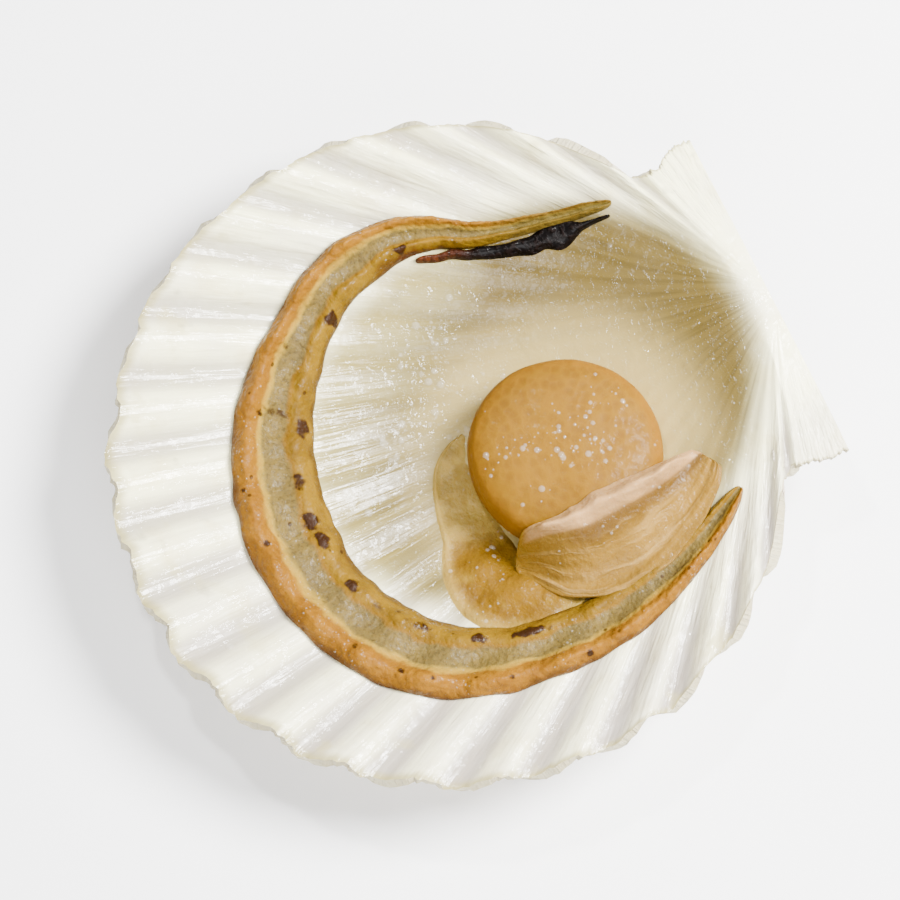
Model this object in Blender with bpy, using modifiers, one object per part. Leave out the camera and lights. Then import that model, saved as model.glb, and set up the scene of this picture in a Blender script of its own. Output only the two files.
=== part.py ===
"""A scallop served raw in its lower half shell, as a Blender script in metres, +Z up.

The cupped valve rests on the convex side with its hinge towards +Y. On its inner floor lie the round
muscle, the horseshoe of mantle that follows the margin, a gill membrane that drapes from the muscle
down to the mantle, the gonad below the muscle, and a dark strand of gut. Each soft piece is a solid
whose underside follows what carries it, a small gap above.
"""

import math

import bmesh
import bpy
from mathutils import Vector

MM = 0.001

# The valve, seen from inside. The disc is a circle, and the umbo lies on the hinge line above it.
DISC_RADIUS = 52.5 * MM
UMBO_FROM_CENTRE = 56.0 * MM
DEEPEST_FROM_CENTRE = 5.0 * MM
INNER_DEPTH = 16.5 * MM
DISH_SHARE = 0.62
LIP_WALL = 1.6 * MM
HINGE_WALL = 3.0 * MM
FOOT_SINK = 0.65 * MM

# Two flat ears carry the straight hinge, and the one on -X has the deeper notch below it.
EAR_SPANS = (28.5 * MM, 27.0 * MM)
EAR_NOTCHES = (2.6 * MM, 1.1 * MM)
NOTCH_ANGLE = math.radians(72.5)
NOTCH_SPREAD = math.radians(6.0)
EAR_DROP = 1.6 * MM
UMBO_WIDTH = 5.0 * MM

# Radial ribs, the same angle apart as seen from the umbo. They fade towards it.
RIB_PITCH = math.radians(6.25)
RIB_COLUMNS = 4
RIB_FAN = math.radians(72)
RIB_INSIDE = 0.55 * MM
RIB_OUTSIDE = 0.5 * MM
RIB_OVERHANG = 0.007
RIB_SHARE_AT_UMBO = 0.16
RIM_WAVE = 0.5 * MM
SHELL_ROWS = 18

# Soft pieces: x and y are measured from the centre of the disc, with y towards the hinge.
GAP = 0.6 * MM
MUSCLE_CENTRE = (7.2 * MM, 17.0 * MM)
MUSCLE_RADIUS = 15.2 * MM
MUSCLE_TOP = 15.6 * MM
MUSCLE_ROUNDING = 0.42
MUSCLE_DOME = 1.1 * MM
MUSCLE_SIDES = 36
MUSCLE_RINGS = 16
SKIRT_CLEARANCE = 1.3 * MM
SKIRT_RUN = 7.0 * MM

# Each route holds x, y and the width there, in millimetres, from one tip to the other.
MANTLE_ROUTE = (
    (-24.9, 40.6, 1.6),
    (-27.7, 30.0, 1.9),
    (-31.0, 19.6, 3.2),
    (-34.2, 12.9, 4.8),
    (-35.6, 5.5, 7.0),
    (-33.8, -4.0, 8.3),
    (-28.7, -11.8, 9.2),
    (-21.0, -19.6, 11.6),
    (-11.5, -24.9, 13.2),
    (0.5, -27.4, 14.2),
    (12.2, -26.0, 13.7),
    (23.6, -19.7, 13.5),
    (30.8, -10.0, 11.6),
    (33.6, 1.5, 10.1),
    (33.8, 12.0, 9.2),
    (32.2, 21.0, 7.2),
    (29.2, 29.5, 5.2),
    (24.6, 38.5, 2.6),
)
GILL_ROUTE = (
    (17.8, 4.2, 1.6),
    (20.4, 7.4, 7.2),
    (22.2, 11.4, 11.4),
    (22.4, 16.4, 12.0),
    (22.1, 22.2, 11.3),
    (20.6, 29.0, 8.4),
    (16.8, 35.2, 2.8),
)
GONAD_ROUTE = (
    (-4.2, 2.3, 1.2),
    (-1.9, -0.3, 3.8),
    (2.6, -1.8, 4.0),
    (7.2, -2.5, 4.4),
    (11.2, -2.7, 5.4),
    (14.9, -2.9, 7.2),
    (18.4, -3.1, 10.2),
    (21.4, -1.8, 11.6),
    (23.4, 0.8, 8.8),
    (25.2, 3.6, 5.8),
    (26.9, 6.0, 2.6),
)
GUT_ROUTE = (
    (-22.9, 39.4, 1.0),
    (-23.5, 35.2, 1.8),
    (-24.0, 31.9, 3.2),
    (-24.7, 28.8, 2.8),
    (-25.5, 25.3, 2.2),
    (-26.6, 21.8, 1.8),
    (-27.9, 18.3, 1.5),
    (-29.2, 14.9, 1.3),
    (-30.7, 9.6, 0.8),
)
MANTLE_RISE = 4.6 * MM
MANTLE_LUMPS = 0.12
GILL_SHEET = 1.1 * MM
GILL_ROLL = 2.4 * MM
GONAD_RISE = 2.8 * MM
GUT_RISE = 1.9 * MM
TIP_SHARE = 0.035

WALL_GROUP = "wall"
COLOURS = {
    "shell": ((0.86, 0.83, 0.76), 0.35),
    "muscle": ((0.82, 0.52, 0.22), 0.30),
    "mantle": ((0.76, 0.50, 0.18), 0.38),
    "gill": ((0.78, 0.60, 0.42), 0.32),
    "gonad": ((0.77, 0.50, 0.20), 0.30),
    "gut": ((0.10, 0.05, 0.03), 0.35),
}


def smooth_step(low, high, value):
    """0 below low, 1 above high, and a smooth ramp between them."""
    share = min(1.0, max(0.0, (value - low) / (high - low)))
    return share * share * (3.0 - 2.0 * share)


def clear_scene():
    for obj in list(bpy.data.objects):
        bpy.data.objects.remove(obj, do_unlink=True)


def make_material(name):
    colour, roughness = COLOURS[name]
    material = bpy.data.materials.new(name)
    material.use_nodes = True
    shader = material.node_tree.nodes["Principled BSDF"]
    shader.inputs["Base Color"].default_value = (*colour, 1.0)
    shader.inputs["Roughness"].default_value = roughness
    shader.inputs["Metallic"].default_value = 0.0
    return material


def add_object(name, mesh, material, collection):
    obj = bpy.data.objects.new(name, mesh)
    obj.data.materials.append(material)
    collection.objects.link(obj)
    return obj


# The valve's form. The world origin is under its deepest point, so the disc's centre is at -Y.


def from_umbo(x, y):
    """Angle from the fan's middle line, and distance, of a point as seen from the umbo."""
    umbo_y = UMBO_FROM_CENTRE - DEEPEST_FROM_CENTRE
    return math.atan2(x, umbo_y - y), math.hypot(x, umbo_y - y)


def margin_from_umbo(angle):
    """Distance from the umbo to the outline: the disc's far side, or the side of an ear."""
    half_reach = UMBO_FROM_CENTRE * math.cos(angle)
    inside = half_reach**2 + DISC_RADIUS**2 - UMBO_FROM_CENTRE**2
    disc = half_reach + math.sqrt(inside) if inside > 0 and half_reach > 0 else 0.0
    side = 1 if angle > 0 else 0
    notch = EAR_NOTCHES[side] * math.exp(-(((abs(angle) - NOTCH_ANGLE) / NOTCH_SPREAD) ** 2))
    ear = EAR_SPANS[side] / max(math.sin(abs(angle)), 0.2) - notch
    on_ear = smooth_step(math.radians(62.0), math.radians(69.0), abs(angle))
    return disc * (1.0 - on_ear) + ear * on_ear if disc else ear


def dish_reach(x, y):
    """0 at the deepest point and 1 on the disc's edge, along the straight line between them."""
    distance = math.hypot(x, y)
    if distance < 1e-9:
        return 0.0
    along = DEEPEST_FROM_CENTRE * y / distance
    edge = math.sqrt(along**2 + DISC_RADIUS**2 - DEEPEST_FROM_CENTRE**2) - along
    return distance / edge


def rib_wave(angle):
    """1 on the crest of an outer rib and -1 between two, and nothing on the ears."""
    on_fan = 1.0 - smooth_step(0.94 * RIB_FAN, 1.06 * RIB_FAN, abs(angle))
    return on_fan * math.cos(2.0 * math.pi * angle / RIB_PITCH)


def rib_strength(reach):
    """How much of its full height a rib has, from the umbo at 0 to the margin at 1."""
    start = RIB_SHARE_AT_UMBO * smooth_step(0.06, 0.4, reach)
    return start + (1.0 - RIB_SHARE_AT_UMBO) * smooth_step(0.35, 1.0, reach)


def deepest_floor():
    return HINGE_WALL * 0.8 - FOOT_SINK


def floor_height(x, y):
    """Height of the valve's inner surface."""
    reach = dish_reach(x, y)
    turn = DISH_SHARE * math.pi
    height = deepest_floor() + INNER_DEPTH * (1.0 - math.cos(turn * min(reach, 1.0))) / (1.0 - math.cos(turn))
    angle, distance = from_umbo(x, y)
    share = min(1.0, distance / margin_from_umbo(angle))
    height -= RIB_INSIDE * rib_strength(share) * rib_wave(angle)
    height += RIM_WAVE * smooth_step(0.8, 1.0, share) * math.sin(3.0 * angle + 0.6)
    beyond = max(0.0, reach - 1.0)
    return height - EAR_DROP * min(1.0, beyond / 0.25)


def shell_point(across, along):
    """A point of the inner surface: across runs over the fan from -1 to 1, along from umbo to margin."""
    angle = across * math.pi / 2.0
    umbo_y = UMBO_FROM_CENTRE - DEEPEST_FROM_CENTRE
    reach = margin_from_umbo(angle)
    overhang = RIB_OVERHANG * smooth_step(0.8, 1.0, along) * rib_wave(angle)
    distance = reach * along * (1.0 + overhang)
    start = 0.5 * UMBO_WIDTH * math.sin(angle) * (1.0 - along) ** 6
    x = distance * math.sin(angle) + start
    y = umbo_y - distance * math.cos(angle)
    return Vector((x, y, floor_height(x, y)))


def wall_share(x, y):
    """Share of the hinge's wall that the valve has here. It thins towards the margin."""
    angle, distance = from_umbo(x, y)
    share = min(1.0, distance / margin_from_umbo(angle))
    wall = HINGE_WALL + (LIP_WALL - HINGE_WALL) * smooth_step(0.1, 1.0, share)
    crest = RIB_OUTSIDE * rib_strength(share) * rib_wave(angle)
    return min(1.0, (wall + crest) / (HINGE_WALL + RIB_OUTSIDE))


def make_shell(material, collection):
    columns = round(math.pi / RIB_PITCH * RIB_COLUMNS)
    columns += columns % 2
    bpy.ops.mesh.primitive_grid_add(x_subdivisions=columns, y_subdivisions=SHELL_ROWS, size=2.0)
    grid = bpy.context.object
    collection.objects.link(grid)
    for other in list(grid.users_collection):
        if other != collection:
            other.objects.unlink(grid)
    grid.name = "shell"
    group = grid.vertex_groups.new(name=WALL_GROUP)
    for vertex in grid.data.vertices:
        along = 1.0 - (0.5 * (vertex.co.y + 1.0)) ** 1.25
        vertex.co = shell_point(vertex.co.x, along)
        group.add([vertex.index], wall_share(vertex.co.x, vertex.co.y), "REPLACE")
    grid.data.materials.append(material)
    face_up(grid.data)
    thicken = grid.modifiers.new("valve wall", "SOLIDIFY")
    thicken.thickness = HINGE_WALL + RIB_OUTSIDE
    thicken.offset = -1.0
    thicken.vertex_group = WALL_GROUP
    stand_on_foot(grid)
    return grid


def face_up(mesh):
    """Turns an open surface so that its faces look up."""
    if sum(face.normal.z * face.area for face in mesh.polygons) < 0:
        mesh.flip_normals()


def stand_on_foot(obj):
    """Applies the wall and presses the convex underside flat where it would pass through the table."""
    bpy.context.view_layer.update()
    evaluated = obj.evaluated_get(bpy.context.evaluated_depsgraph_get())
    solid = bpy.data.meshes.new_from_object(evaluated)
    obj.modifiers.clear()
    obj.data = solid
    for vertex in solid.vertices:
        vertex.co.z = max(vertex.co.z, 0.0)


# The soft pieces. Their places are given from the disc's centre, which lies on -Y of the origin.


def from_disc_centre(x, y):
    return x, y - DEEPEST_FROM_CENTRE


def muscle_distance(x, y):
    centre_x, centre_y = from_disc_centre(*MUSCLE_CENTRE)
    return math.hypot(x - centre_x, y - centre_y)


def muscle_outline(angle):
    """Radius of the muscle, which is a little uneven."""
    return MUSCLE_RADIUS * (1.0 + 0.022 * math.sin(2.0 * angle + 0.5) + 0.012 * math.sin(3.0 * angle + 2.0))


def floor_support(x, y):
    return floor_height(x, y) + GAP


def draped_support(x, y):
    """What carries the gill membrane: the muscle's top, a slope down its side, and then the floor."""
    floor = floor_support(x, y)
    top = MUSCLE_TOP + MUSCLE_DOME + GAP
    beyond = (muscle_distance(x, y) - MUSCLE_RADIUS - SKIRT_CLEARANCE) / SKIRT_RUN
    return top + (floor - top) * smooth_step(0.0, 1.0, beyond)


def make_muscle(material, collection):
    """A squat drum with a domed top, shaped from a sphere. Its base follows the valve's floor."""
    shape = bmesh.new()
    bmesh.ops.create_uvsphere(shape, u_segments=MUSCLE_SIDES, v_segments=MUSCLE_RINGS, radius=1.0)
    centre_x, centre_y = from_disc_centre(*MUSCLE_CENTRE)
    waist = 0.5 * (MUSCLE_TOP + floor_support(centre_x, centre_y))
    for vertex in shape.verts:
        around, across, up = vertex.co
        angle = math.atan2(across, around)
        out = min(1.0, math.hypot(around, across)) ** MUSCLE_ROUNDING
        level = min(1.0, abs(up)) ** MUSCLE_ROUNDING
        x = centre_x + muscle_outline(angle) * out * math.cos(angle)
        y = centre_y + muscle_outline(angle) * out * math.sin(angle)
        floor = floor_support(x, y)
        rise = waist + (MUSCLE_TOP - waist) * level + MUSCLE_DOME * (1.0 - out**2)
        vertex.co = (x, y, rise if up > 0 else floor + (waist - floor) * (1.0 - level))
    mesh = bpy.data.meshes.new("adductor_muscle")
    shape.to_mesh(mesh)
    shape.free()
    return add_object("adductor_muscle", mesh, material, collection)


def along_route(route, share):
    """Place, width and direction at a share of a route's length, on a smooth curve through its points."""
    last = len(route) - 1
    step = min(last - 1, int(share * last))
    part = share * last - step
    before, first = route[max(0, step - 1)], route[step]
    second, after = route[step + 1], route[min(last, step + 2)]
    value = []
    slope = []
    for a, b, c, d in zip(before, first, second, after):
        bend = (2.0 * a - 5.0 * b + 4.0 * c - d) * part**2 + (3.0 * b - a - 3.0 * c + d) * part**3
        value.append(0.5 * (2.0 * b + (c - a) * part + bend))
        turn = 2.0 * (2.0 * a - 5.0 * b + 4.0 * c - d) * part + 3.0 * (3.0 * b - a - 3.0 * c + d) * part**2
        slope.append(0.5 * (c - a + turn))
    x, y = from_disc_centre(value[0] * MM, value[1] * MM)
    return x, y, value[2] * MM, Vector((slope[0], slope[1])).normalized()


def tip_taper(share):
    """1 along a strip and 0 at both ends, which are round."""
    inner = min(1.0, min(share, 1.0 - share) / TIP_SHARE)
    return math.sqrt(max(0.0, 1.0 - (1.0 - inner) ** 2))


def make_strip(name, route, sizes, support, section, material, collection):
    """A strip of flesh: the rings of a sphere laid along a route, flat below and shaped above.

    sizes is how many points go round it and along it. section gives the height above the support at
    a place across, from -1 on the right of the route to 1 on its left, and a share of the length.
    """
    shape = bmesh.new()
    around, along = sizes
    bmesh.ops.create_uvsphere(shape, u_segments=around, v_segments=along, radius=1.0)
    for vertex in shape.verts:
        share = math.acos(max(-1.0, min(1.0, vertex.co.z))) / math.pi
        angle = math.atan2(vertex.co.y, vertex.co.x)
        x, y, width, ahead = along_route(route, share)
        taper = tip_taper(share)
        across = math.copysign(abs(math.cos(angle)) ** 0.85, math.cos(angle))
        side = 0.5 * width * taper * across
        x -= ahead.y * side
        y += ahead.x * side
        height = support(x, y)
        if math.sin(angle) > 0:
            height += section(across, share) * taper * math.sin(angle) ** 0.6
        vertex.co = (x, y, height)
    mesh = bpy.data.meshes.new(name)
    shape.to_mesh(mesh)
    shape.free()
    obj = add_object(name, mesh, material, collection)
    face_outwards(mesh)
    return obj


def face_outwards(mesh):
    shape = bmesh.new()
    shape.from_mesh(mesh)
    bmesh.ops.recalc_face_normals(shape, faces=shape.faces)
    shape.to_mesh(mesh)
    shape.free()


def ridge(across, centre, spread):
    return math.exp(-(((across - centre) / spread) ** 2))


def mantle_section(across, share):
    """A high outer roll, a shallow valley and a lower inner roll, with lumps along them."""
    lumps = 1.0 + MANTLE_LUMPS * math.sin(61.0 * share + 2.0 * math.sin(17.0 * share))
    outer = ridge(across, -0.62, 0.34) * lumps
    inner = 0.66 * ridge(across, 0.62, 0.32)
    arms = 0.62 + 0.38 * math.sin(math.pi * share)
    return MANTLE_RISE * arms * (0.46 + 0.54 * max(outer, inner))


def gill_section(across, share):
    """A thin sheet whose edge on the muscle is a thick pale roll."""
    waver = (0.85 + 0.15 * math.sin(23.0 * share)) * smooth_step(0.10, 0.26, share)
    return GILL_SHEET + GILL_ROLL * waver * ridge(across, 0.80, 0.20)


def gonad_section(across, share):
    """A soft pad, thick along its middle and thin along both sides."""
    return GONAD_RISE * (0.30 + 0.55 * ridge(across, 0.0, 0.6)) * (0.9 + 0.1 * math.cos(9.0 * share))


def gut_section(across, share):
    return GUT_RISE * (0.8 + 0.2 * math.sin(31.0 * share))


def main():
    clear_scene()
    collection = bpy.data.collections.new("scallop in shell")
    bpy.context.scene.collection.children.link(collection)
    materials = {name: make_material(name) for name in COLOURS}
    shell = make_shell(materials["shell"], collection)
    muscle = make_muscle(materials["muscle"], collection)
    strips = (
        ("mantle_frill", MANTLE_ROUTE, (16, 68), floor_support, mantle_section, "mantle"),
        ("gill_membrane", GILL_ROUTE, (20, 26), draped_support, gill_section, "gill"),
        ("gonad", GONAD_ROUTE, (16, 24), floor_support, gonad_section, "gonad"),
        ("gut_strand", GUT_ROUTE, (10, 24), floor_support, gut_section, "gut"),
    )
    pieces = [shell, muscle]
    for name, route, sizes, support, section, look in strips:
        pieces.append(make_strip(name, route, sizes, support, section, materials[look], collection))
    for piece in pieces:
        piece.data.shade_smooth()


main()
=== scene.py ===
"""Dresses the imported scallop: a pearly ribbed valve, wet flesh on its floor, and a pale studio.

Run as a script after the part is packed. Each operator below makes one piece, or one group of like
pieces, round the fixed frame. Everything is in metres, in the frame's own axes: the valve rests on
z = 0 with its hinge towards +Y.
"""

import math

import bmesh
import bpy
import numpy as np
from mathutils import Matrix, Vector


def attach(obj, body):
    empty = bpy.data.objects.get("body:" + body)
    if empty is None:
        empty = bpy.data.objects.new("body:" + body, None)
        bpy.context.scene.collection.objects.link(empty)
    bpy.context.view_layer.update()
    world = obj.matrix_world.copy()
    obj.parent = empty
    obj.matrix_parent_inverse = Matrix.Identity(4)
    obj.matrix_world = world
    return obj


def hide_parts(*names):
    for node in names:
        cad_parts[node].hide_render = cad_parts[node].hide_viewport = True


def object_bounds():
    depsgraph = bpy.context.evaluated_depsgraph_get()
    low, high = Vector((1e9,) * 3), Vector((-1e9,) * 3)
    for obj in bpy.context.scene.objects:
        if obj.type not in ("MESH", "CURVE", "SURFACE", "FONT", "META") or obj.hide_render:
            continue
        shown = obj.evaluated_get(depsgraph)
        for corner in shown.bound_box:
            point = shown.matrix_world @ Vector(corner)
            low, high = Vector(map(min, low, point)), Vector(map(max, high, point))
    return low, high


bl_info = {
    "name": "Scallop on the half valve",
    "version": (1, 0, 0),
    "blender": (4, 5, 0),
    "location": "3D View > Sidebar > Scallop",
    "description": "Builds a raw scallop in its lower valve, piece by piece, over its packed frame",
    "category": "Add Mesh",
}

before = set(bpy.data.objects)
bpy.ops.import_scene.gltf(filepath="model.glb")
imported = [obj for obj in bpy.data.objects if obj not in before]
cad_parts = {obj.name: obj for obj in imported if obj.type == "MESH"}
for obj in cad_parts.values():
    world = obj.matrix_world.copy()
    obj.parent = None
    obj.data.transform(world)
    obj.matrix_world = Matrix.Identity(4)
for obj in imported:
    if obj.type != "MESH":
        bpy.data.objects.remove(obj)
CAD_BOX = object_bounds()
MM = 0.001

# From the umbo to the rim along the middle rib
FAN_LENGTH = 105 * MM
# How far a strip of flesh reaches into what carries it, and the share of its length that each tip takes
SINK = 0.25 * MM
TIP_SHARE = 0.035

# Each route holds x, y and the width there in millimetres, from the disc's centre, y to the hinge.
MANTLE_ROUTE = (
    (-24.9, 40.6, 1.8),
    (-27.6, 30.0, 2.3),
    (-30.8, 19.6, 3.6),
    (-34.2, 12.9, 5.0),
    (-35.6, 5.5, 7.2),
    (-33.8, -4.0, 8.4),
    (-28.7, -11.8, 9.2),
    (-21.0, -19.6, 11.6),
    (-11.5, -24.9, 13.3),
    (0.5, -27.4, 14.4),
    (12.2, -26.0, 13.8),
    (23.6, -19.7, 13.7),
    (30.8, -10.0, 11.8),
    (33.6, 1.5, 10.2),
    (33.8, 12.0, 9.4),
    (32.2, 21.0, 7.4),
    (29.2, 29.5, 5.3),
    (24.6, 38.5, 2.8),
)
GILL_ROUTE = (
    (17.7, 3.1, 4.6),
    (20.0, 6.7, 9.0),
    (22.2, 10.6, 13.2),
    (23.3, 15.6, 15.4),
    (23.0, 21.6, 14.8),
    (21.7, 28.0, 12.4),
    (19.4, 33.2, 8.6),
    (17.8, 36.0, 5.0),
)
GONAD_ROUTE = (
    (-4.4, 4.8, 1.0),
    (-2.6, 2.6, 3.6),
    (-0.4, 1.0, 6.0),
    (3.0, -0.3, 7.8),
    (7.2, -1.0, 9.0),
    (11.0, -1.2, 10.4),
    (14.4, -1.8, 12.2),
    (18.0, -2.2, 14.6),
    (21.4, -0.8, 16.0),
    (23.9, 2.6, 14.6),
    (25.3, 6.8, 10.8),
    (25.9, 10.6, 6.0),
    (26.0, 13.0, 2.0),
)
GUT_ROUTE = (
    (-23.3, 39.6, 0.6),
    (-24.1, 35.2, 1.2),
    (-24.4, 32.2, 3.9),
    (-25.0, 29.2, 3.6),
    (-25.9, 25.5, 2.5),
    (-27.0, 21.9, 2.1),
    (-28.3, 18.3, 1.8),
    (-29.8, 14.9, 1.5),
    (-31.4, 9.4, 0.9),
)

# Dark marks on the mantle: place, half length along it, half width across it, and how dark each is.
MANTLE_MARKS = (
    (-28.5, -6.6, 1.2, 1.0, 0.9),
    (-33.5, 7.8, 1.1, 0.6, 0.9),
    (-15.0, -18.2, 1.7, 1.0, 0.8),
    (-18.6, -20.6, 0.7, 2.6, 0.45),
    (-7.5, -22.4, 1.5, 0.9, 0.7),
    (-1.0, -23.5, 1.4, 1.2, 0.95),
    (2.6, -23.2, 1.7, 1.0, 0.95),
    (11.2, -22.2, 1.2, 1.0, 0.85),
    (15.9, -20.1, 1.2, 0.7, 0.4),
    (21.9, -15.4, 1.5, 0.8, 0.6),
    (27.5, -8.3, 1.3, 0.8, 0.9),
    (30.1, -0.7, 2.9, 0.7, 1.0),
    (0.1, -31.5, 0.6, 0.6, 0.8),
    (-19.4, -23.5, 0.5, 0.5, 0.6),
    (20.8, -26.3, 0.5, 0.5, 0.7),
    (27.5, -21.5, 0.6, 0.5, 0.8),
    (37.7, 6.0, 0.6, 0.5, 0.8),
    (-27.4, -15.2, 0.5, 0.5, 0.5),
    (-9.3, -31.1, 0.5, 0.5, 0.5),
    (30.8, -17.7, 0.4, 0.4, 0.6),
    (35.8, -6.6, 0.5, 0.4, 0.6),
)
# Red brown stains on the mantle beside the gut strand, given as the marks are.
MANTLE_BLUSH = (
    (-32.2, 4.9, 2.4, 0.8, 0.6),
    (-32.0, 8.6, 2.8, 1.0, 0.9),
    (-30.8, 12.6, 2.6, 1.1, 0.9),
)
# Where beads gather on the muscle: place and reach in millimetres, and how thick they lie.
BEAD_CLUSTERS = (
    (5.6, 15.2, 2.6, 1.0),
    (9.2, 20.6, 2.4, 0.6),
)


def linear(hex_text):
    """The linear colour, with alpha, of an sRGB hex value."""
    channels = [int(hex_text[i : i + 2], 16) / 255 for i in (1, 3, 5)]
    return (*(c / 12.92 if c <= 0.04045 else ((c + 0.055) / 1.055) ** 2.4 for c in channels), 1.0)


def size_property(name, description, default):
    """A length, shown in the scene's own unit."""
    kind = {"subtype": "DISTANCE", "unit": "LENGTH", "min": 0.0, "precision": 5}
    return bpy.props.FloatProperty(name=name, description=description, default=default, **kind)


def colour_property(name, description, hex_text):
    """A colour, given as an sRGB hex value."""
    kind = {"subtype": "COLOR", "size": 4, "min": 0.0, "max": 1.0, "default": linear(hex_text)}
    return bpy.props.FloatVectorProperty(name=name, description=description, **kind)


class ValveSettings(bpy.types.PropertyGroup):
    """Sizes and colours of the valve."""

    disc_radius: size_property("Disc radius", "Radius of the round part of the valve", 52.5 * MM)
    umbo_distance: size_property("Umbo distance", "From the disc's centre to the umbo", 56.0 * MM)
    deepest_offset: size_property("Deepest offset", "From the disc's centre to its deepest point", 5 * MM)
    depth: size_property("Depth", "Depth of the inner floor below the rim", 16.5 * MM)
    floor_level: size_property("Floor level", "Height of the floor's deepest point", 1.75 * MM)
    dish_share: bpy.props.FloatProperty(
        name="Dish share",
        description="Share of a half wave that the valve's profile follows",
        default=0.62,
    )
    left_ear: size_property("Left ear", "Half length of the hinge on -X", 28.5 * MM)
    right_ear: size_property("Right ear", "Half length of the hinge on +X", 27.0 * MM)
    left_notch: size_property("Left notch", "Depth of the notch below the left ear", 2.6 * MM)
    right_notch: size_property("Right notch", "Depth of the notch below the right ear", 1.1 * MM)
    ear_drop: size_property("Ear drop", "How far the ears' corners lie below the rim", 1.6 * MM)
    hinge_wall: size_property("Hinge wall", "Thickness of the valve at the hinge", 3.0 * MM)
    rim_wall: size_property("Rim wall", "Thickness of the valve at its rim", 1.5 * MM)
    rib_pitch: bpy.props.FloatProperty(
        name="Rib pitch",
        description="Angle between ribs at the umbo",
        default=math.radians(6.25),
        subtype="ANGLE",
    )
    rib_inside: size_property("Inner ribs", "Height of a rib on the inner side at the rim", 1.15 * MM)
    rib_outside: size_property("Outer ribs", "Height of a rib on the outer side at the rim", 1.55 * MM)
    ring_spacing: size_property("Ring spacing", "Distance between growth rings outside", 2.6 * MM)
    ring_height: size_property("Ring height", "Height of a growth ring outside", 0.16 * MM)
    rim_wear: size_property("Rim wear", "Depth of the nibbles along the rim", 0.6 * MM)
    pearl: colour_property("Pearl", "Crests of the inner side", "#fffbcc")
    # Painted shade: the cool grey put between the ribs of the inner side.
    groove_shade: colour_property("Groove", "Grooves of the inner side", "#857b74")
    straw: colour_property("Straw film", "Dried juice that tints the floor", "#94853f")
    tint: colour_property("Floor tint", "Stain on the floor round the flesh", "#5a4a1e")
    chalk: colour_property("Chalk", "Ribs of the outer side", "#efe6d0")
    band: colour_property("Band", "Growth bands of the outer side", "#c3a88c")
    edge: colour_property("Edge", "Skin along the rim", "#978c52")


class FleshSettings(bpy.types.PropertyGroup):
    """Sizes and colours of the soft pieces."""

    muscle_x: size_property("Muscle place X", "Muscle's centre from the disc's centre", 7.2 * MM)
    muscle_y: size_property("Muscle place Y", "Muscle's centre from the disc's centre", 17.0 * MM)
    muscle_radius: size_property("Muscle radius", "Radius of the round muscle", 15.2 * MM)
    muscle_top: size_property("Muscle top", "Height of the muscle's shoulder", 15.6 * MM)
    muscle_dome: size_property("Muscle dome", "Rise of the muscle's top over its shoulder", 1.1 * MM)
    mantle_rise: size_property("Mantle rise", "Height of the mantle's outer roll", 4.6 * MM)
    gill_run: size_property("Gill run", "How far the membrane takes to run down to the floor", 9.8 * MM)
    gill_sheet: size_property("Gill sheet", "Thickness of the gill membrane", 1.0 * MM)
    gill_roll: size_property("Gill roll", "Height of the pale roll on the membrane's edge", 3.0 * MM)
    gonad_rise: size_property("Gonad rise", "Height of the gonad", 2.8 * MM)
    gut_rise: size_property("Gut rise", "Height of the gut strand", 1.9 * MM)
    pebble: size_property("Pebble size", "Size of the pebbles on the mantle's outer roll", 1.1 * MM)
    muscle_colour: colour_property("Muscle", "Muscle's top", "#6c4a0a")
    muscle_side: colour_property("Muscle side", "Muscle's side wall", "#774d0a")
    roll_colour: colour_property("Outer roll", "Mantle's outer roll", "#71490a")
    strip_colour: colour_property("Middle strip", "Mantle's middle strip", "#5e4d24")
    inner_colour: colour_property("Inner roll", "Mantle's inner roll", "#6c500a")
    mark_colour: colour_property("Dark marks", "Pigment spots on the mantle", "#261304")
    gill_colour: colour_property("Membrane", "Gill membrane", "#7c5c1e")
    gill_pale: colour_property("Pale roll", "Pale roll and folds of the membrane", "#ab8456")
    gonad_colour: colour_property("Gonad", "Gonad", "#6a4b0a")
    gut_colour: colour_property("Gut", "Gut strand", "#050303")


class StageSettings(bpy.types.PropertyGroup):
    """Camera and light of the studio."""

    azimuth: bpy.props.FloatProperty(
        name="Azimuth",
        description="Camera's bearing round +Z, from -Y",
        default=math.radians(64),
        subtype="ANGLE",
    )
    elevation: bpy.props.FloatProperty(
        name="Elevation",
        description="Camera's height angle",
        default=math.radians(77.5),
        subtype="ANGLE",
    )
    view_width: size_property("View width", "Width seen at the part's middle", 140.9 * MM)
    lens: bpy.props.FloatProperty(
        name="Lens", description="Focal length", default=200.0, min=20.0, unit="CAMERA"
    )
    aim: bpy.props.FloatVectorProperty(
        name="Aim",
        description="Point the camera looks at",
        default=(-1.47 * MM, -4.07 * MM, 10.06 * MM),
        size=3,
        subtype="XYZ",
        unit="LENGTH",
    )
    floor: colour_property("Floor", "Plain studio floor", "#fbfbfb")


SETTINGS = (
    ("scallop_valve", ValveSettings),
    ("scallop_flesh", FleshSettings),
    ("scallop_stage", StageSettings),
)


# Nodes and meshes


def plug(tree, socket, value):
    """Sets a socket to a number or colour, or links it to a socket or to a node's first output."""
    if isinstance(value, bpy.types.Node):
        value = value.outputs[0]
    if isinstance(value, bpy.types.NodeSocket):
        tree.links.new(value, socket)
    else:
        socket.default_value = value


def add(tree, kind, inputs=None, **settings):
    """One node with its settings and what its inputs take."""
    node = tree.nodes.new(kind)
    node.location = (220 * (len(tree.nodes) % 12), -260 * (len(tree.nodes) // 12))
    for name, value in settings.items():
        setattr(node, name, value)
    for key, value in (inputs or {}).items():
        plug(tree, node.inputs[key], value)
    return node


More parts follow.
